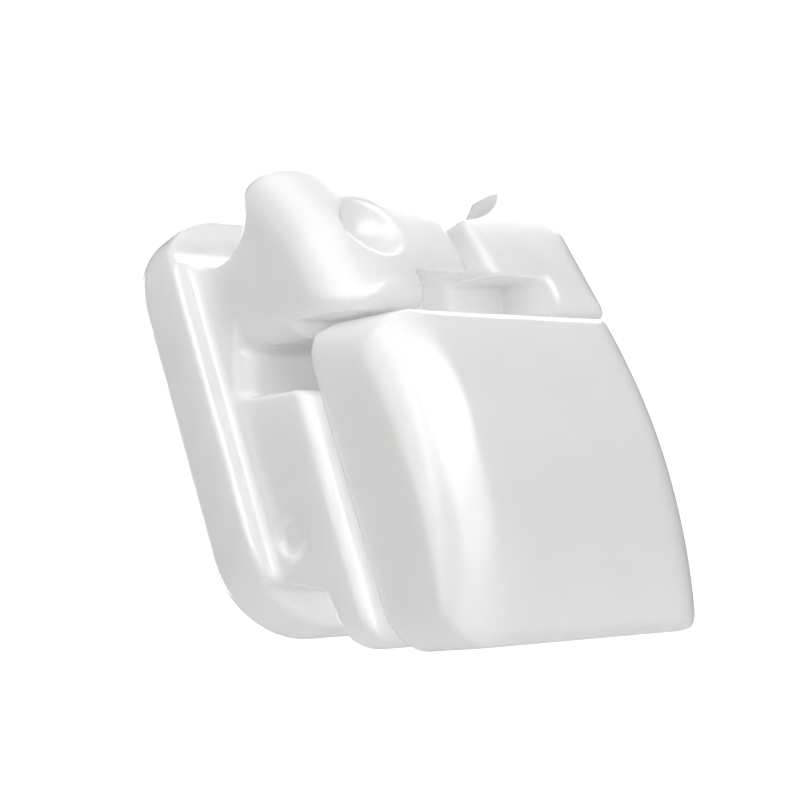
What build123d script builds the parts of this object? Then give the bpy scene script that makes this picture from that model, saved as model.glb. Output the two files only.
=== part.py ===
"""A ceramic self-ligating orthodontic bracket: a one-piece body, a sliding door and its spring pin.

Millimetres. X runs along the dental arch, +Y points to the tooth and +Z to the gum.
The origin is the centre of the bonding face, and depths are measured from it towards -Y.
The archwire slot and every face that runs along it are turned by the torque about X.
The door is modelled shut.
"""

import os
from math import cos, pi, radians, sin, sqrt, tan

from build123d import *

# Curved labial surface of the door, and the torque
labial_radius = 5.0
labial_crown_depth = 2.69
labial_crown_z = -1.005
torque_deg = 17.0
overrun = 1.0

# Bonding pad
pad_width = 3.92
pad_height = 3.92
pad_thickness = 0.655
pad_top_corner_radius = 0.75
pad_bottom_corner_radius = 0.84
pad_back_round = 0.22
pad_front_round = 0.04

# Block that stands on the pad
body_width = 3.5
track_depth = 1.555

# Archwire slot, 0.018 inch high, and the landing that the door shuts against
slot_height = 0.457
slot_floor_depth = 0.92
slot_axis_z = 0.259
slot_end_round = 0.2
slot_flare = 0.35
landing_height = 0.145

# Lower lip, and the undercut behind it that slopes down from the pad
lip_drop = 2.46
lip_root_thickness = 0.41
lip_toe_thickness = 0.335
lip_round = 0.16
lip_corner_round = 0.3
lip_undercut_z = -1.855
lip_undercut_slope_deg = 28.0
lip_undercut_sink = 0.095

# Tie wings: a front face that leans back, a top face that leans back further, and the saddle
wing_setback = 0.42
wing_fold_z = 1.175
wing_front_lean_deg = 12.0
wing_top_lean_deg = 28.0
wing_top_z = 1.82
wing_top_fall = 0.06
wing_thickness = 0.775
wing_undercut_radius = 0.47
wing_undercut_z = 1.72
wing_side_round = 0.54
wing_chin_round = 0.2
wing_fold_round = 0.3
wing_ridge_round = 0.22
wing_corner_round = 0.25
saddle_sag = 0.6
saddle_radius = 1.5

# Channel between the wings and the recess that takes the opening tool
channel_width = 0.29
channel_floor_depth = 1.3
recess_width = 1.68
recess_rise = 0.745
recess_back_depth = 1.72

# Round dimple in the left wing and shallow gate mark on the left side
dimple_radius = 0.36
dimple_sink = 0.22
dimple_x = -1.11
dimple_z = 1.095
gate_mark_radius = 0.165
gate_mark_sink = 0.1
gate_mark_depth = 0.93
gate_mark_z = -1.285

# Sliding door
door_width = 3.18
door_drop = 2.508
door_side_round = 0.55
door_top_corner_round = 0.42
door_bottom_corner_round = 0.38
door_clearance = 0.02

# Dovetail rail on the back of the door, and its groove in the body
rail_neck_width = 1.5
rail_height = 0.17
rail_flare_deg = 20.0
rail_clearance = 0.02
rail_top_wall = 0.12

# Spring pin, and the keyway in the rail that it rides in
pin_diameter = 0.44
pin_wall = 0.08
pin_slit = 0.1
pin_z = -1.345
pin_seat = 0.38
pin_reach = 0.13
keyway_travel = 0.7
keyway_clearance = 0.03

torque = radians(torque_deg)
labial_centre_depth = labial_crown_depth - labial_radius
slot_axis_offset = slot_floor_depth * sin(torque) + slot_axis_z * cos(torque)
landing_rise = slot_height / 2 + landing_height
wing_front_lean = radians(wing_front_lean_deg)
wing_top_lean = radians(wing_top_lean_deg)
wing_fold_depth = labial_crown_depth - wing_setback
wing_back_depth = wing_fold_depth - wing_thickness
wing_undercut_depth = wing_back_depth - wing_undercut_radius
inner_depth = pad_thickness / 2
lip_root_depth = track_depth - lip_root_thickness
lip_toe_depth = track_depth - lip_toe_thickness
groove_floor_depth = track_depth - rail_height - rail_clearance


def torque_z(depth, rise):
    """Height where the torqued plane that lies rise above the slot's axis passes a depth."""
    return (slot_axis_offset + rise - depth * sin(torque)) / cos(torque)


def labial_depth(z):
    """Depth of the curved labial surface at a height."""
    return labial_centre_depth + sqrt(labial_radius**2 - (z - labial_crown_z) ** 2)


def labial_crossing(rise):
    """Depth and height where a torqued plane meets the labial surface."""
    along = slot_axis_offset + rise - labial_centre_depth * sin(torque) - labial_crown_z * cos(torque)
    reach = sqrt(labial_radius**2 - along**2)
    depth = labial_centre_depth + along * sin(torque) + reach * cos(torque)
    return depth, labial_crown_z + along * cos(torque) - reach * sin(torque)


def side(depth, z):
    """Point of a side profile, on the YZ plane."""
    return (-depth, z)


def torqued_plane(depth, rise):
    """Plane across the slot's depth, X along the arch and Y up, that faces out of the mouth."""
    origin = (0, -depth, torque_z(depth, rise))
    return Plane(origin=origin, x_dir=(1, 0, 0), z_dir=(0, -cos(torque), -sin(torque)))


rail_top_z = torque_z(track_depth, -slot_height / 2) - rail_top_wall

# Middle plane of the slot: X along the arch, Y towards the tooth, origin on the slot's floor
slot_plane = Plane(
    origin=(0, -slot_floor_depth, slot_axis_z),
    x_dir=(1, 0, 0),
    z_dir=(0, -sin(torque), cos(torque)),
)


def labial_arc(low, high):
    """Arc of the labial surface between two points given as depth and height."""
    middle_z = (low[1] + high[1]) / 2
    return ThreePointArc(side(*low), side(labial_depth(middle_z), middle_z), side(*high))


def lean_plane(lean):
    """Plane square to a wing face that leans back through the fold, with Y into the wing."""
    origin = (0, -wing_fold_depth, wing_fold_z)
    return Plane(origin=origin, x_dir=(1, 0, 0), z_dir=(0, sin(lean), cos(lean)))


def lean_depth(lean, z):
    """Depth at a height of the wing face that leans back through the fold."""
    return wing_fold_depth + (wing_fold_z - z) * tan(lean)


def lip_undercut(depth):
    """Point on the sloping roof of the lip's undercut."""
    slope = tan(radians(lip_undercut_slope_deg))
    return side(depth, lip_undercut_z + (lip_root_depth - depth) * slope)


def labial_edges(piece):
    """Two edges in which the labial surface meets the sides of a piece."""
    arcs = piece.edges().filter_by(GeomType.CIRCLE)
    return arcs.filter_by(lambda edge: abs(edge.radius - labial_radius) < labial_radius / 100)


def rail_corners(spread):
    """Corners of the dovetail rail's section, or of its groove when spread by the clearance."""
    mouth = rail_neck_width / 2 + spread
    end_depth = track_depth - rail_height - spread
    mouth_depth = track_depth + door_clearance
    flare = (mouth_depth - end_depth) * tan(radians(rail_flare_deg))
    return [
        (-mouth, -mouth_depth),
        (mouth, -mouth_depth),
        (mouth + flare, -end_depth),
        (-mouth - flare, -end_depth),
    ]


# Tie wings, one block across both until the channel is cut
with BuildPart() as wings:
    underside = slot_axis_offset + landing_rise - lean_depth(wing_front_lean, 0) * sin(torque)
    chin_z = underside / (cos(torque) - tan(wing_front_lean) * sin(torque))
    chin = side(lean_depth(wing_front_lean, chin_z), chin_z)
    fold = side(wing_fold_depth, wing_fold_z)
    ridge_z = wing_top_z - wing_top_fall
    ridge = side(lean_depth(wing_top_lean, ridge_z), ridge_z)
    with BuildSketch(Plane.YZ) as wing_profile:
        with BuildLine():
            Polyline(
                chin,
                fold,
                ridge,
                side(wing_back_depth, wing_top_z),
                side(wing_back_depth, wing_undercut_z),
                side(inner_depth, wing_undercut_z),
                side(inner_depth, torque_z(inner_depth, landing_rise)),
                close=True,
            )
        make_face()
        for point, rounding in (
            (chin, wing_chin_round),
            (fold, wing_fold_round),
            (ridge, wing_ridge_round),
        ):
            fillet(wing_profile.vertices().sort_by_distance(Vector(*point))[0], rounding)
    extrude(amount=body_width / 2, both=True)

    # Both leaning faces are rounded over towards the sides
    for lean in (wing_front_lean, wing_top_lean):
        with BuildSketch(lean_plane(lean)) as wing_plan:
            Rectangle(body_width, labial_crown_depth, align=(Align.CENTER, Align.MIN))
            fillet(wing_plan.vertices().group_by(Axis.Y)[0], wing_side_round)
        extrude(amount=pad_height, both=True, mode=Mode.INTERSECT)
    with BuildSketch(Plane.XZ) as wing_front:
        with Locations((0, wing_top_z)):
            Rectangle(body_width, pad_height, align=(Align.CENTER, Align.MAX))
        fillet(wing_front.vertices().group_by(Axis.Y)[-1], wing_corner_round)
    extrude(amount=labial_crown_depth, mode=Mode.INTERSECT)

    # The saddle lies between the tops of the two wings
    saddle_centre_z = wing_top_z - saddle_sag + saddle_radius
    with BuildSketch(Plane.XZ):
        with Locations((0, saddle_centre_z)):
            Circle(saddle_radius)
    extrude(amount=labial_crown_depth + overrun, mode=Mode.SUBTRACT)

# Bonding pad
with BuildPart() as pad:
    with BuildSketch(Plane.XZ):
        outline = Rectangle(pad_width, pad_height)
        fillet(outline.vertices().group_by(Axis.Z)[-1], pad_top_corner_radius)
        fillet(outline.vertices().group_by(Axis.Z)[0], pad_bottom_corner_radius)
    extrude(amount=pad_thickness)
    fillet(pad.faces().sort_by(Axis.Y)[-1].edges(), pad_back_round)
    fillet(pad.faces().sort_by(Axis.Y)[0].edges(), pad_front_round)

# Block that holds the slot, with the lower lip that backs the foot of the door
with BuildPart() as block:
    with BuildSketch(Plane.YZ) as block_profile:
        with BuildLine():
            Polyline(
                side(inner_depth, torque_z(inner_depth, landing_rise)),
                side(track_depth, torque_z(track_depth, landing_rise)),
                side(track_depth, torque_z(track_depth, -lip_drop)),
                side(lip_toe_depth, torque_z(lip_toe_depth, -lip_drop)),
                lip_undercut(lip_root_depth),
                lip_undercut(inner_depth),
                close=True,
            )
        make_face()
        fillet(block_profile.vertices().sort_by(Axis.Y)[:2], lip_round)
    extrude(amount=body_width / 2, both=True)
    with BuildSketch(torqued_plane(0, -lip_drop)):
        outline = Rectangle(body_width, pad_height, align=(Align.CENTER, Align.MIN))
        fillet(outline.vertices().group_by(Axis.Z)[0], lip_corner_round)
    extrude(amount=pad_height, both=True, mode=Mode.INTERSECT)

# Body: everything that is moulded and sintered in one
with BuildPart() as bracket_body:
    add(wings.part)
    add(pad.part)
    add(block.part)

    # Undercuts: round-bottomed behind the wings, and a shallow cut of the pad behind the lip
    shelf_depth = pad_thickness - lip_undercut_sink
    with BuildSketch(Plane.YZ):
        with Locations(side(wing_undercut_depth, wing_undercut_z)):
            Circle(wing_undercut_radius)
            Rectangle(2 * wing_undercut_radius, overrun, align=(Align.CENTER, Align.MIN))
        with BuildLine():
            Polyline(
                lip_undercut(shelf_depth),
                lip_undercut(lip_root_depth),
                side(lip_root_depth, -pad_height),
                side(shelf_depth, -pad_height),
                close=True,
            )
        make_face()
    extrude(amount=pad_width, both=True, mode=Mode.SUBTRACT)

    # Archwire slot, with its floor rounded off at both ends
    floor_corner = body_width / 2 - slot_end_round
    arc_middle = slot_end_round * cos(pi / 4)
    with BuildSketch(slot_plane):
        with BuildLine():
            Polyline(
                (0, -labial_crown_depth),
                (pad_width, -labial_crown_depth),
                (pad_width, slot_end_round),
                (body_width / 2, slot_end_round),
            )
            ThreePointArc(
                (body_width / 2, slot_end_round),
                (floor_corner + arc_middle, slot_end_round - arc_middle),
                (floor_corner, 0),
            )
            Line((floor_corner, 0), (0, 0))
            mirror(about=Plane.YZ)
        make_face()
    extrude(amount=slot_height / 2, both=True, mode=Mode.SUBTRACT)

    # Flare of the wings' lower edges at both ends of the slot
    flare_corner = body_width / 2 - slot_flare
    flare_middle = slot_flare * cos(pi / 4)
    with BuildSketch(torqued_plane(slot_floor_depth, slot_height / 2)):
        with BuildLine():
            ThreePointArc(
                (flare_corner, 0),
                (flare_corner + flare_middle, slot_flare - flare_middle),
                (body_width / 2, slot_flare),
            )
            Polyline(
                (body_width / 2, slot_flare),
                (pad_width, slot_flare),
                (pad_width, 0),
                (flare_corner, 0),
            )
        make_face()
        mirror(about=Plane.YZ)
    extrude(amount=labial_crown_depth, mode=Mode.SUBTRACT)

    # Channel between the wings
    with BuildSketch(Plane.XZ.offset(channel_floor_depth)):
        with Locations((0, slot_axis_z)):
            Rectangle(channel_width, wing_top_z, align=(Align.CENTER, Align.MIN))
    extrude(amount=labial_crown_depth, mode=Mode.SUBTRACT)

    # Recess that takes the tool which pushes the door down
    with BuildSketch(torqued_plane(recess_back_depth, landing_rise)):
        Rectangle(
            recess_width, recess_rise - landing_rise, align=(Align.CENTER, Align.MIN)
        )
    extrude(amount=labial_crown_depth, mode=Mode.SUBTRACT)

    # Round dimple in the left wing
    dimple_depth = lean_depth(wing_front_lean, dimple_z) + dimple_radius - dimple_sink
    with Locations((dimple_x, -dimple_depth, dimple_z)):
        Sphere(dimple_radius, mode=Mode.SUBTRACT)

    # Gate mark on the left side
    with BuildSketch(Plane.YZ.offset(-body_width / 2)):
        with Locations(side(gate_mark_depth, gate_mark_z)):
            Circle(gate_mark_radius)
    extrude(amount=gate_mark_sink, mode=Mode.SUBTRACT)

    # Dovetail groove for the door's rail, open at the lip
    with BuildSketch(Plane.XY.offset(rail_top_z + rail_clearance)):
        with BuildLine():
            Polyline(rail_corners(rail_clearance), close=True)
        make_face()
    extrude(amount=-pad_height, mode=Mode.SUBTRACT)

    # Bore that the spring pin is pressed into
    with BuildSketch(Plane.XZ.offset(groove_floor_depth)):
        with Locations((0, pin_z)):
            Circle(pin_diameter / 2)
    extrude(amount=-pin_seat, mode=Mode.SUBTRACT)

# Sliding door: a curved plate with a dovetail rail on its back
with BuildPart() as sliding_door:
    door_top_rise = landing_rise - door_clearance
    door_back_depth = track_depth + door_clearance
    foot = labial_crossing(-door_drop)
    head = labial_crossing(door_top_rise)
    with BuildSketch(Plane.YZ):
        with BuildLine():
            labial_arc(foot, head)
            Polyline(
                side(*head),
                side(door_back_depth, torque_z(door_back_depth, door_top_rise)),
                side(door_back_depth, torque_z(door_back_depth, -door_drop)),
                side(*foot),
            )
        make_face()
    extrude(amount=door_width / 2, both=True)
    fillet(labial_edges(sliding_door), door_side_round)
    with BuildSketch(torqued_plane(0, 0)):
        with Locations((0, (door_top_rise - door_drop) / 2)):
            outline = Rectangle(door_width, door_top_rise + door_drop)
        fillet(outline.vertices().group_by(Axis.Z)[-1], door_top_corner_round)
        fillet(outline.vertices().group_by(Axis.Z)[0], door_bottom_corner_round)
    extrude(amount=labial_crown_depth * 2, mode=Mode.INTERSECT)

    # Rail
    foot_z = torque_z(door_back_depth, -door_drop)
    with BuildSketch(Plane.XY.offset(rail_top_z)):
        with BuildLine():
            Polyline(rail_corners(0), close=True)
        make_face()
    extrude(amount=foot_z - rail_top_z + door_bottom_corner_round)

    # Keyway for the pin, with a round seat at each end
    keyway_width = pin_diameter + 2 * keyway_clearance
    with BuildSketch(Plane.XZ.offset(groove_floor_depth)):
        with Locations((0, pin_z + keyway_travel / 2)):
            SlotCenterToCenter(keyway_travel, keyway_width, rotation=90)
    extrude(amount=rail_clearance + pin_reach + keyway_clearance, mode=Mode.SUBTRACT)

# Spring pin: a slit tube
with BuildPart() as spring_pin:
    with BuildSketch(Plane.XZ.offset(groove_floor_depth - pin_seat)):
        with Locations((0, pin_z)):
            Circle(pin_diameter / 2)
            Circle(pin_diameter / 2 - pin_wall, mode=Mode.SUBTRACT)
            Rectangle(
                pin_slit, pin_diameter, align=(Align.CENTER, Align.MIN), mode=Mode.SUBTRACT
            )
    extrude(amount=pin_seat + pin_reach)

pieces = {
    "bracket_body": bracket_body,
    "sliding_door": sliding_door,
    "spring_pin": spring_pin,
}
os.makedirs("parts", exist_ok=True)
for name, piece in pieces.items():
    piece.part.label = name
    export_step(piece.part, f"parts/{name}.step")
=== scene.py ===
from math import asin, cos, pi, radians, sin, tan

import bmesh
import bpy
from mathutils import Matrix, Vector


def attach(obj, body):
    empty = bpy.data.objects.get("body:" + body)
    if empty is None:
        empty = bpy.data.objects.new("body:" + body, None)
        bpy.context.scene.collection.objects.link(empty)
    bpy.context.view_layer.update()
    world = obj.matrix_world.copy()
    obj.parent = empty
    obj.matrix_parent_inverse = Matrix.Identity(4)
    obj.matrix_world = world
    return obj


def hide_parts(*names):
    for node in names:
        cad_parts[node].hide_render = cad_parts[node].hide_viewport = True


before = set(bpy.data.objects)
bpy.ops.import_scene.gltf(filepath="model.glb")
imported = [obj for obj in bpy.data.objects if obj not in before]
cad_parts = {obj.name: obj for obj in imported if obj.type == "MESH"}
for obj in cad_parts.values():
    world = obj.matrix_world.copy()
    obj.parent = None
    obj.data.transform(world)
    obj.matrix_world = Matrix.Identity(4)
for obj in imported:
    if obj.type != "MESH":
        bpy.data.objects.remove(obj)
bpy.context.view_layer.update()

# Bracket body, wings first: one piece of translucent white alumina, injection-moulded and sintered.
# Both tie wings are one block with a leaning front face and a flatter facet over it, until the
# channel parts them. Solids are drawn in millimetres: X along the arch, -Y out of the mouth, Z up.
torque = radians(17.0)
front_lean = radians(12.0)
facet_lean = radians(28.0)
slot_height = 0.457
slot_floor_depth = 0.92
slot_axis_z = 0.259
landing_rise = slot_height / 2 + 0.145
body_half_width = 1.75
fold_depth = 2.27
fold_z = 1.175
chin_round = 0.34
fold_round = 0.42
ridge_round = 0.16
wing_top_z = 1.82
ridge_z = wing_top_z - 0.06
wing_back_depth = 1.495
wing_corner_round = 0.25
wing_side_round = 0.54
wing_rim_round = 0.13
undercut_z = 1.72
inner_depth = 0.33
# Solids that meet never share a face: one of them always stands about this much apart
overlap = 0.002
slot_axis_offset = slot_floor_depth * sin(torque) + slot_axis_z * cos(torque)


def torque_z(depth, rise):
    """Height where the torqued plane that lies rise above the slot's axis passes a depth."""
    return (slot_axis_offset + rise - depth * sin(torque)) / cos(torque)


def rectangle(half_width, low, high):
    """Outline of a rectangle centred across, from its lower left corner round."""
    return [(-half_width, low), (half_width, low), (half_width, high), (-half_width, high)]


def drawn(outline, start, end, origin=(0, 0, 0), across=(1, 0, 0), up=(0, 0, 1), rounds=None):
    """Solid drawn from start to end off a plane, with corners cut round at a distance from them."""
    shape = bmesh.new()
    corners = [shape.verts.new((x, y, start)) for x, y in outline]
    shape.faces.new(corners)
    for setback in sorted(set((rounds or {}).values())):
        chosen = [corners[place] for place, cut in rounds.items() if cut == setback]
        bmesh.ops.bevel(
            shape, geom=chosen, offset=setback, segments=16, profile=0.5, affect="VERTICES",
            material=-1,
        )
    pulled = bmesh.ops.extrude_face_region(shape, geom=shape.faces[:])
    far = [part for part in pulled["geom"] if isinstance(part, bmesh.types.BMVert)]
    bmesh.ops.translate(shape, vec=(0, 0, end - start), verts=far)
    across, up = Vector(across), Vector(up)
    turn = Matrix((across, up, across.cross(up))).transposed().to_4x4()
    bmesh.ops.transform(shape, matrix=Matrix.Translation(origin) @ turn, verts=shape.verts)
    bmesh.ops.recalc_face_normals(shape, faces=shape.faces)
    return shape


def leaning(angle):
    """Axes of a plane square to a front that leans back by an angle, with the tooth above it."""
    return {"across": (1, 0, 0), "up": (0, cos(angle), -sin(angle))}


def round_edges(shape, edges, offset, segments):
    """Rounds edges of a solid that is still being drawn."""
    bmesh.ops.bevel(
        shape, geom=edges, offset=offset, segments=segments, profile=0.5, affect="EDGES",
        material=-1, clamp_overlap=False, loop_slide=True,
    )


def solid(name, shape):
    """Object made of a finished bmesh."""
    mesh = bpy.data.meshes.new(name)
    shape.to_mesh(mesh)
    shape.free()
    made = bpy.data.objects.new(name, mesh)
    bpy.context.collection.objects.link(made)
    return made


def combine(base, tools, operation):
    """Joins tools to a base, cuts them out of it or keeps what they share, one at a time."""
    for tool in tools:
        step = base.modifiers.new(tool.name, "BOOLEAN")
        step.operation, step.solver, step.object = operation, "EXACT", tool
        whole = base.evaluated_get(bpy.context.evaluated_depsgraph_get())
        mesh = bpy.data.meshes.new_from_object(whole)
        base.modifiers.clear()
        base.data = mesh
        bpy.data.objects.remove(tool)


# The chin is where the leaning front meets the torqued landing over the slot
side_view = {"across": (0, -1, 0), "up": (0, 0, 1)}
chin_z = slot_axis_offset + landing_rise - (fold_depth + fold_z * tan(front_lean)) * sin(torque)
chin_z /= cos(torque) - tan(front_lean) * sin(torque)
wings = solid("wings", drawn(
    [
        (fold_depth + (fold_z - chin_z) * tan(front_lean), chin_z),
        (fold_depth, fold_z),
        (fold_depth + (fold_z - ridge_z) * tan(facet_lean), ridge_z),
        (wing_back_depth, wing_top_z),
        (wing_back_depth, undercut_z),
        (inner_depth, undercut_z),
        (inner_depth, torque_z(inner_depth, landing_rise)),
    ],
    -2, 2, **side_view, rounds={0: chin_round, 1: fold_round, 2: ridge_round},
))
wing_rounders = [solid("front corners", drawn(
    rectangle(body_half_width + 2 * overlap, -1, wing_top_z + overlap),
    0, 3, rounds={2: wing_corner_round, 3: wing_corner_round},
))]
fold = Vector((0, -fold_depth, fold_z))
for lean, half_width in (
    (front_lean, body_half_width), (facet_lean, body_half_width + overlap)
):
    rounder = drawn(
        rectangle(half_width, -overlap, 3), -4, 3, origin=fold, **leaning(lean),
        rounds={0: wing_side_round, 1: wing_side_round},
    )
    if lean == front_lean:
        # Its lower end is slid up to the landing, and gives the wings' underside a rounded rim
        upward = Vector((0, sin(lean), cos(lean)))
        foot = [vert for vert in rounder.verts if (vert.co - fold).dot(upward) < 0]
        for vert in foot:
            gap = torque_z(-vert.co.y, landing_rise - overlap) - vert.co.z
            vert.co += upward * gap / (cos(lean) - sin(lean) * tan(torque))
        rim = [edge for edge in rounder.edges if all(vert in foot for vert in edge.verts)]
        round_edges(rounder, rim, wing_rim_round, 8)
    wing_rounders.append(solid("leaning corners", rounder))
combine(wings, wing_rounders, "INTERSECT")

# Pad of the same piece: a rounded plate that is bonded to the tooth, with a soft back rim. It is
# thinned a little under the lower lip, where the undercut's roof runs down from the lip's root.
pad_half = 1.96
pad_thickness = 0.655
pad_bottom_round = 0.84
pad_top_round = 0.75
pad_back_round = 0.22
lip_root_depth = 1.145
lip_root_z = -1.855
roof_slope = tan(radians(28.0))


def roof_z(depth):
    """Height of the undercut's roof, under the lower lip, at a depth."""
    return lip_root_z + (lip_root_depth - depth) * roof_slope


pad = drawn(rectangle(pad_half, -pad_half, pad_half), 0, pad_thickness, rounds={
    0: pad_bottom_round, 1: pad_bottom_round, 2: pad_top_round, 3: pad_top_round,
})
back_rim = [edge for edge in pad.edges if all(abs(vert.co.y) < 0.001 for vert in edge.verts)]
round_edges(pad, back_rim, pad_back_round, 10)
pad = solid("pad", pad)
shelf = [(depth, roof_z(depth) - overlap) for depth in (0.56, 1.0)]
shelf = drawn([*shelf, (1.0, -3), (0.56, -3)], -3, 3, **side_view)
combine(pad, [solid("shelf", shelf)], "DIFFERENCE")

# Block of the same piece: it carries the slot and the door's track, and ends in the lower lip.
# It laps into the wings, has the slot's notch with a rounded lower edge, rounded labial edges and
# rounded lip corners, and stands on the pad with a small root fillet down each side.
track_depth = 1.555
lap_rise = landing_rise + 0.13
notch_depth = slot_floor_depth + 0.03
notch_top = 0.2
notch_foot = 0.004 - slot_height / 2
lip_drop = 2.46
lip_toe_depth = 1.22
lip_corner_round = 0.3
labial_edge_round = 0.13
root_round = 0.07
block = solid("block", drawn(
    [
        (depth, torque_z(depth, rise))
        for depth, rise in (
            (inner_depth, lap_rise),
            (track_depth, lap_rise),
            (track_depth, notch_top),
            (notch_depth, notch_top),
            (notch_depth, notch_foot),
            (track_depth, notch_foot),
            (track_depth, -lip_drop),
            (lip_toe_depth, -lip_drop),
        )
    ] + [(lip_root_depth, lip_root_z), (inner_depth, roof_z(inner_depth))],
    -2, 2, **side_view, rounds={5: 0.13, 6: 0.2, 7: 0.09},
))
torqued_view = {"across": (1, 0, 0), "up": (0, -sin(torque), cos(torque))}
plan_view = {"across": (1, 0, 0), "up": (0, 1, 0)}
block_side = body_half_width - 1.5 * overlap
combine(block, [
    solid("lip corners", drawn(
        rectangle(body_half_width - overlap / 2, -overlap, 6),
        -3, 3, origin=(0, 0, torque_z(0, -lip_drop)), **torqued_view,
        rounds={0: lip_corner_round, 1: lip_corner_round},
    )),
    solid("labial edges", drawn(
        rectangle(block_side, -track_depth - overlap, 3),
        -4, 4, **plan_view, rounds={0: labial_edge_round, 1: labial_edge_round},
    )),
], "INTERSECT")


def quarter_round(x, y, across, along, steps):
    """Points of a hollow quarter round, from (x + across, y) to (x, y + along)."""
    turns = [step * pi / 2 / steps for step in range(steps + 1)]
    return [(x + across * (1 - sin(turn)), y + along * (1 - cos(turn))) for turn in turns]


pad_face = -pad_thickness + overlap
for way in (-1, 1):
    curl = quarter_round(way * block_side, pad_face, way * root_round, -root_round, 8)
    fillet = [
        (way * 1.6, -0.6), (way * (block_side + root_round), -0.6), *curl,
        (way * 1.6, pad_face - root_round),
    ]
    combine(wings, [solid("root fillet", drawn(fillet, -1.55, 1.5, **plan_view))], "UNION")
combine(wings, [pad, block], "UNION")

# What the mould's cores leave in the piece: the undercut behind the wings, the archwire slot with
# its floor and upper edges rolled off at both ends, the tool recess, the channel with its softened
# mouth, the saddle, a dimple, the gate mark, the door's dovetail groove and the pin's bore.
undercut_radius = 0.47
undercut_depth = 1.025
undercut = bmesh.new()
bmesh.ops.create_circle(undercut, cap_ends=True, segments=64, radius=undercut_radius)
for vert in undercut.verts:
    if vert.co.y > overlap:
        vert.co.y += 1
pulled = bmesh.ops.extrude_face_region(undercut, geom=undercut.faces[:])
far = [part for part in pulled["geom"] if isinstance(part, bmesh.types.BMVert)]
bmesh.ops.translate(undercut, vec=(0, 0, 6), verts=far)
bmesh.ops.translate(undercut, vec=(0, 0, -3), verts=undercut.verts)
lay = Matrix(((0, 0, 1), (1, 0, 0), (0, 1, 0))).to_4x4()
place = Matrix.Translation((0, -undercut_depth, undercut_z))
bmesh.ops.transform(undercut, matrix=place @ lay, verts=undercut.verts)
bmesh.ops.recalc_face_normals(undercut, faces=undercut.faces)
cores = [solid("undercut", undercut)]

slot_end_round = 0.19
slot_end_sink = 0.2
slot_roll = 0.35
cores.append(solid("slot", drawn(
    [
        (-3, -2.7), (3, -2.7), (3, slot_end_sink), (body_half_width, slot_end_sink),
        (body_half_width, 0), (-body_half_width, 0), (-body_half_width, slot_end_sink),
        (-3, slot_end_sink),
    ],
    -slot_height / 2, slot_height / 2, origin=(0, -slot_floor_depth, slot_axis_z),
    **leaning(-torque), rounds={4: slot_end_round, 5: slot_end_round},
)))
slot_roof = (0, -slot_floor_depth, torque_z(slot_floor_depth, slot_height / 2))
for way in (-1, 1):
    curl = quarter_round(way * body_half_width, 0, -way * slot_roll, slot_roll, 16)
    outline = [
        (way * (body_half_width - slot_roll), -0.05), *curl, (way * 2.5, slot_roll),
        (way * 2.5, -0.05),
    ]
    cores.append(solid("slot roll", drawn(outline, 0, 2.7, origin=slot_roof, **torqued_view)))

recess_half_width = 0.84
recess_rise = 0.745
recess_depth = 1.72
recess_foot = (0, -recess_depth, torque_z(recess_depth, landing_rise))
cores.append(solid("recess", drawn(
    rectangle(recess_half_width, -0.05, recess_rise - landing_rise),
    0, 2, origin=recess_foot, **torqued_view,
)))

channel_half_width = 0.145
channel_floor_depth = 1.3
cores.append(solid("channel", drawn(
    rectangle(channel_half_width, 0.3, 3), channel_floor_depth, 4,
)))
for lean, throat, mouth, foot, start, end in (
    (front_lean, 0.141, 0.1, fold, -1, 1.2),
    (facet_lean, 0.137, 0.095, fold, -1, 1.2),
    (-torque, 0.133, 0.07, recess_foot, 0.003, 0.36),
):
    curl = quarter_round(throat, 0, mouth, mouth, 8)
    outline = curl + [(-x, y) for x, y in reversed(curl)]
    outline = [(throat + mouth, -0.3), *outline, (-throat - mouth, -0.3)]
    cores.append(solid("channel mouth", drawn(
        outline, start, end, origin=foot, **leaning(lean),
    )))

pin_z = -1.345
to_side = Matrix.Rotation(pi / 2, 3, "Y")
to_front = Matrix.Rotation(pi / 2, 3, "X")
for name, radius, length, turn, centre in (
    ("saddle", 1.5, 3.0, to_front, (0, -2.55, wing_top_z + 0.9)),
    ("gate mark", 0.16, 0.13, to_side, (-body_half_width, -0.93, -1.285)),
    ("pin bore", 0.22, 0.48, to_front, (0, -1.225, pin_z)),
):
    core = bmesh.new()
    bmesh.ops.create_cone(
        core, cap_ends=True, segments=128, radius1=radius, radius2=radius, depth=length
    )
    bmesh.ops.rotate(core, cent=(0, 0, 0), matrix=turn, verts=core.verts)
    bmesh.ops.translate(core, vec=centre, verts=core.verts)
    cores.append(solid(name, core))

dimple = bmesh.new()
bmesh.ops.create_uvsphere(dimple, u_segments=64, v_segments=48, radius=0.36)
bmesh.ops.translate(dimple, vec=(-1.11, -2.427, 1.095), verts=dimple.verts)
cores.append(solid("dimple", dimple))

cores.append(solid("groove", drawn(
    [(-0.77, -1.575), (0.77, -1.575), (0.85, -1.365), (-0.85, -1.365)], -4, -0.274, **plan_view,
)))
combine(wings, cores, "DIFFERENCE")


def tumbled(rough, name, grain, passes):
    """Skins a solid, wears its edges down as sintering and tumbling do, and brings it to metres."""
    for size, rounds in ((grain * 0.55, passes), (grain, 2)):
        net = rough.modifiers.new("net", "REMESH")
        net.mode, net.voxel_size, net.use_smooth_shade = "VOXEL", size, True
        wear = rough.modifiers.new("wear", "SMOOTH")
        wear.factor, wear.iterations = 0.5, rounds
    whole = rough.evaluated_get(bpy.context.evaluated_depsgraph_get())
    mesh = bpy.data.meshes.new_from_object(whole)
    mesh.name = name
    mesh.transform(Matrix.Scale(0.001, 4))
    piece = bpy.data.objects.new(name, mesh)
    bpy.context.collection.objects.link(piece)
    bpy.data.objects.remove(rough)
    return piece


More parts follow.
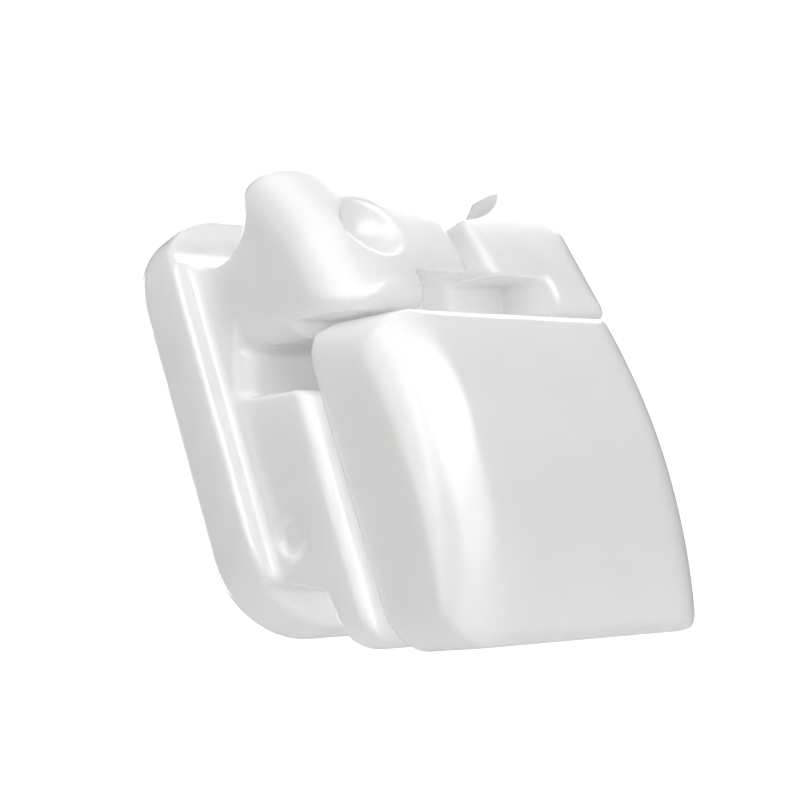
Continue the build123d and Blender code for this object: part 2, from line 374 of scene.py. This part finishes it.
def linear(code):
    """Linear colour of an sRGB hex value."""
    parts = [int(code[place:place + 2], 16) / 255 for place in (1, 3, 5)]
    parts = [part / 12.92 if part <= 0.04045 else ((part + 0.055) / 1.055) ** 2.4 for part in parts]
    return (*parts, 1)


def add(tree, kind, settings, links):
    """Adds a node, with values for its inputs and links into them."""
    node = tree.nodes.new(kind)
    for name, value in settings.items():
        node.inputs[name].default_value = value
    for name, socket in links.items():
        tree.links.new(socket, node.inputs[name])
    return node


def started(name, settings):
    """New material with values on its shader, its nodes, and coordinates that stay on the piece."""
    material = bpy.data.materials.new(name)
    material.use_nodes = True
    tree = material.node_tree
    shader = tree.nodes["Principled BSDF"]
    for socket, value in settings.items():
        shader.inputs[socket].default_value = value
    return material, tree, shader, add(tree, "ShaderNodeTexCoord", {}, {}).outputs["Object"]


# Sintered alumina is white and lets light in a few tenths of a millimetre, so shade and edges look
# soft. Where it fired denser it is a little clearer, in clouds of half a millimetre, and tumbling
# leaves a satin gloss that changes slightly over fifths of a millimetre.
def sintered_alumina(name, milky, clear, roughness, roughness_spread, grain_height):
    """Alumina between two shades, with a gloss that varies and a skin of grains."""
    material, tree, shader, place = started(name, {
        "IOR": 1.76,
        "Subsurface Weight": 1.0,
        "Subsurface Radius": (1.0, 1.0, 1.0),
        "Subsurface Scale": 0.0003,
    })
    cloud = add(
        tree, "ShaderNodeTexNoise", {"Scale": 1 / 0.0006, "Detail": 1.0}, {"Vector": place}
    )
    tint = add(tree, "ShaderNodeValToRGB", {}, {"Fac": cloud.outputs["Fac"]})
    for stop, position, shade in zip(tint.color_ramp.elements, (0.3, 0.7), (clear, milky)):
        stop.position, stop.color = position, linear(shade)
    tree.links.new(tint.outputs["Color"], shader.inputs["Base Color"])
    worn = add(
        tree, "ShaderNodeTexNoise", {"Scale": 1 / 0.00018, "Detail": 2.0}, {"Vector": place}
    )
    gloss = add(tree, "ShaderNodeMapRange", {
        "From Min": 0.3, "From Max": 0.7,
        "To Min": roughness, "To Max": roughness + roughness_spread,
    }, {"Value": worn.outputs["Fac"]})
    tree.links.new(gloss.outputs["Result"], shader.inputs["Roughness"])
    # Grains of 10 to 20 micrometres are too fine to show, so they are drawn twice as coarse
    grains = add(tree, "ShaderNodeTexVoronoi", {"Scale": 1 / 0.00004}, {"Vector": place})
    bump = add(
        tree, "ShaderNodeBump", {"Strength": 1.0, "Distance": grain_height},
        {"Height": grains.outputs["Distance"]},
    )
    tree.links.new(bump.outputs["Normal"], shader.inputs["Normal"])
    return material


body = tumbled(wings, "body", 0.029, 14)
body.data.materials.append(sintered_alumina(
    "sintered alumina, tumbled", "#f8f8f8", "#f2f2f1", 0.2, 0.06, 0.0000006
))
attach(body, "bracket")
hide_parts("bracket_body")

# Sliding door: the same alumina, moulded as a curved plate, on a dovetail rail that runs in the
# body's groove. Its sides roll over broadly, and the roll flattens towards the foot.
labial_radius = 5.0
labial_centre_depth = 2.69 - labial_radius
labial_crown_z = -1.005
door_half_width = 1.59
door_back_depth = 1.575
door_top_rise = landing_rise - 0.02
door_drop = 2.508
side_roll = 0.55
plate_back_depth = 0.4
spare_angle = 0.1
flat_share = 0.45
flat_start_z = -0.3
flat_length = 2.3


def labial_angle(rise):
    """Angle on the labial surface, up from its crown, where a torqued plane meets it."""
    along = slot_axis_offset + rise - labial_centre_depth * sin(torque)
    along -= labial_crown_z * cos(torque)
    return asin(along / labial_radius) - torque


def on_labial(angle, radius):
    """Depth and height at an angle up from the labial crown, at a radius."""
    return labial_centre_depth + radius * cos(angle), labial_crown_z + radius * sin(angle)


heel, head = labial_angle(-door_drop), labial_angle(door_top_rise)
plate = bmesh.new()
corners = [
    plate.verts.new((x, y, labial_crown_z))
    for x, y in (
        (-door_half_width, -plate_back_depth),
        (door_half_width, -plate_back_depth),
        (door_half_width, -labial_centre_depth - labial_radius),
        (-door_half_width, -labial_centre_depth - labial_radius),
    )
]
plate.faces.new(corners)
bmesh.ops.bevel(
    plate, geom=corners[2:], offset=side_roll, segments=32, profile=0.5, affect="VERTICES",
    material=-1,
)
labial_centre = Vector((0, -labial_centre_depth, labial_crown_z))
to_heel = Matrix.Rotation(spare_angle - heel, 3, "X")
bmesh.ops.rotate(plate, cent=labial_centre, matrix=to_heel, verts=plate.verts)
bmesh.ops.spin(
    plate, geom=plate.verts[:] + plate.edges[:] + plate.faces[:], cent=labial_centre,
    axis=(-1, 0, 0), angle=head - heel + 2 * spare_angle, steps=80,
)
for vert in plate.verts:
    out = vert.co - labial_centre
    out.x = 0
    sunk = labial_radius - out.length
    low = min(1, max(0, (flat_start_z - vert.co.z) / flat_length))
    if sunk < side_roll + overlap:
        vert.co += out.normalized() * sunk * flat_share * low
bmesh.ops.recalc_face_normals(plate, faces=plate.faces)
door = solid("door", plate)

# The head and the foot lie on torqued planes, and their edges and corners are rounded
peak = on_labial((heel + head) / 2, labial_radius / cos((head - heel) / 2))
combine(door, [
    solid("door profile", drawn(
        [
            on_labial(head, labial_radius),
            (door_back_depth, torque_z(door_back_depth, door_top_rise)),
            (door_back_depth, torque_z(door_back_depth, -door_drop)),
            on_labial(heel, labial_radius),
            peak,
        ],
        -2, 2, **side_view, rounds={0: 0.09, 3: 0.12, 1: 0.04, 2: 0.04},
    )),
    solid("door outline", drawn(
        rectangle(door_half_width + overlap, -door_drop - overlap, door_top_rise + overlap),
        0, 5, origin=(0, 0, torque_z(0, 0)), **torqued_view,
        rounds={0: 0.38, 1: 0.38, 2: 0.42, 3: 0.42},
    )),
], "INTERSECT")
combine(door, [solid("rail", drawn(
    [(-0.75, -1.6), (0.75, -1.6), (0.826, -1.385), (-0.826, -1.385)], -2.28, -0.294, **plan_view,
))], "UNION")
keyway_half_width = 0.25
keyway_round = keyway_half_width - 0.001
combine(door, [solid("keyway", drawn(
    rectangle(keyway_half_width, -1.595, -0.395), 1.3, 1.545,
    rounds={corner: keyway_round for corner in range(4)},
))], "DIFFERENCE")
door = tumbled(door, "door", 0.024, 10)
# The door is polished after tumbling: glossier than the body, more even and with finer grains
door.data.materials.append(sintered_alumina(
    "sintered alumina, polished", "#f7f7f7", "#f5f5f4", 0.19, 0.05, 0.0000004
))
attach(door, "door")
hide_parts("sliding_door")

# Spring pin: a nickel-titanium tube, drawn, slit along one side and pressed into the body's bore.
# The door's keyway rides on it, and its spring holds the door shut or open.
pin_radius = 0.215
pin_bore_radius = 0.14
slit_half_angle = 0.25
wall_steps = 22
wall = [
    (radius * sin(angle), radius * cos(angle))
    for radius, steps in (
        (pin_radius, range(wall_steps + 1)), (pin_bore_radius, range(wall_steps, -1, -1))
    )
    for angle in (
        slit_half_angle + (2 * pi - 2 * slit_half_angle) * step / wall_steps for step in steps
    )
]
pin = solid("pin", drawn(wall, 0.987, 1.49, origin=(0, 0, pin_z)))
pin.data.transform(Matrix.Scale(0.001, 4))
# Drawn nickel-titanium is a warm grey metal with fine lines along the tube, 10 micrometres apart,
# in which its gloss comes and goes.
drawn_metal, tree, shader, place = started("nickel-titanium, drawn", {
    "Base Color": linear("#b3aba3"), "Metallic": 1.0,
})
along = add(
    tree, "ShaderNodeMapping", {"Scale": (1 / 0.00001, 1 / 0.0004, 1 / 0.00001)}, {"Vector": place}
)
lines = add(
    tree, "ShaderNodeTexNoise", {"Scale": 1.0, "Detail": 2.0}, {"Vector": along.outputs["Vector"]}
)
gloss = add(
    tree, "ShaderNodeMapRange", {"To Min": 0.22, "To Max": 0.42}, {"Value": lines.outputs["Fac"]}
)
tree.links.new(gloss.outputs["Result"], shader.inputs["Roughness"])
pin.data.materials.append(drawn_metal)
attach(pin, "bracket")
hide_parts("spring_pin")

# Floor: a light table's sheet of opal acrylic, lit evenly from below, so that it stays pale from
# any side and lifts the shade under the bracket. Its satin face has a texture of 0.2 mm.
floor = bmesh.new()
bmesh.ops.create_grid(floor, x_segments=1, y_segments=1, size=0.2)
bmesh.ops.translate(floor, vec=(0, 0, -0.012), verts=floor.verts)
floor = solid("floor", floor)
acrylic, tree, shader, place = started("opal acrylic, satin, lit from below", {
    "Base Color": linear("#808080"),
    "IOR": 1.49,
    "Roughness": 0.6,
    "Emission Color": (1, 1, 1, 1),
    "Emission Strength": 0.44,
})
satin = add(tree, "ShaderNodeTexNoise", {"Scale": 1 / 0.0002, "Detail": 2.0}, {"Vector": place})
bump = add(
    tree, "ShaderNodeBump", {"Strength": 0.3, "Distance": 0.000004},
    {"Height": satin.outputs["Fac"]},
)
tree.links.new(bump.outputs["Normal"], shader.inputs["Normal"])
floor.data.materials.append(acrylic)

# Studio: a dim room behind a white backdrop. Large white cards show only in the gloss, and fills
# that cast no shadow light the slot and the undercuts nearly as much as the front.
world = bpy.data.worlds.new("studio")
bpy.context.scene.world = world
world.use_nodes = True
tree = world.node_tree
seen = add(tree, "ShaderNodeLightPath", {}, {})
backdrop = add(
    tree, "ShaderNodeMapRange", {"To Min": 0.12, "To Max": 1.1},
    {"Value": seen.outputs["Is Camera Ray"]},
)
background = tree.nodes["Background"]
background.inputs["Color"].default_value = (1, 1, 1, 1)
tree.links.new(backdrop.outputs["Result"], background.inputs["Strength"])


def softbox(name, towards, wide, high, brightness):
    """Oval area light in a direction, with half-angles in degrees, as bright as so much white."""
    lamp = bpy.data.lights.new(name, "AREA")
    lamp.shape = "ELLIPSE"
    away = 0.08
    lamp.size, lamp.size_y = 2 * away * tan(radians(wide)), 2 * away * tan(radians(high))
    lamp.energy = brightness * pi * pi * lamp.size * lamp.size_y / 4
    lit = bpy.data.objects.new(name, lamp)
    bpy.context.collection.objects.link(lit)
    way = Vector(towards).normalized()
    turn = way.to_track_quat("Z", "Y").to_matrix().to_4x4()
    lit.matrix_world = Matrix.Translation(way * away) @ turn
    lit.visible_camera = False
    return lit


for name, towards, wide, high, brightness in (
    ("key", (0.05, -0.9, 0.36), 34, 11, 4.5),
    ("front low", (0.05, -0.98, 0.05), 30, 12, 2.0),
    ("left", (-0.5, -0.5, 0.7), 26, 22, 1.8),
    ("wash", (-0.58, -0.76, 0.3), 26, 12, 1.7),
    ("far left", (-0.92, -0.2, 0.32), 26, 20, 1.5),
    ("top", (0.63, 0.15, 0.76), 23, 21, 3.2),
    ("back", (0.05, 0.95, 0.3), 20, 20, 4.0),
    ("floor bounce", (0.3, -0.55, -0.78), 34, 20, 2.2),
):
    softbox(name, towards, wide, high, brightness).visible_diffuse = False
fill_half_angle = 30
for name, towards, light in (
    ("fill front", (-0.3, -0.82, 0.6), 0.35),
    ("fill hollows", (-0.3, -0.82, 0.6), 0.33),
    ("fill left", (-1, 0, 0), 0.24),
    ("fill right", (1, 0, 0), 0.18),
    ("fill back", (0, 1, 0), 0.3),
    ("fill top", (0, 0, 1), 0.42),
):
    brightness = light / tan(radians(fill_half_angle)) ** 2
    fill = softbox(name, towards, fill_half_angle, fill_half_angle, brightness)
    fill.visible_glossy = False
    fill.data.use_shadow = False
    # Without this sampling a fill reaches the hollows in full, and with it only in part
    fill.data.cycles.use_multiple_importance_sampling = name != "fill hollows"

# Camera: a long lens, from below and to the left of the bracket, at the photograph's angle.
camera = bpy.data.objects.new("camera", bpy.data.cameras.new("camera"))
bpy.context.collection.objects.link(camera)
right = Vector((0.7071, -0.6506, -0.2766))
up = Vector((-0.0124, -0.4022, 0.9153))
back = Vector((-0.7071, -0.6436, -0.2927))
turn = Matrix((right, up, back)).transposed().to_4x4()
camera.matrix_world = Matrix.Translation((-0.015448, -0.015057, -0.006406)) @ turn
camera.data.lens = 108
camera.data.sensor_width = 36
camera.data.clip_start = 0.001
camera.data.clip_end = 10
bpy.context.scene.camera = camera
bpy.context.scene.view_settings.view_transform = "Standard"
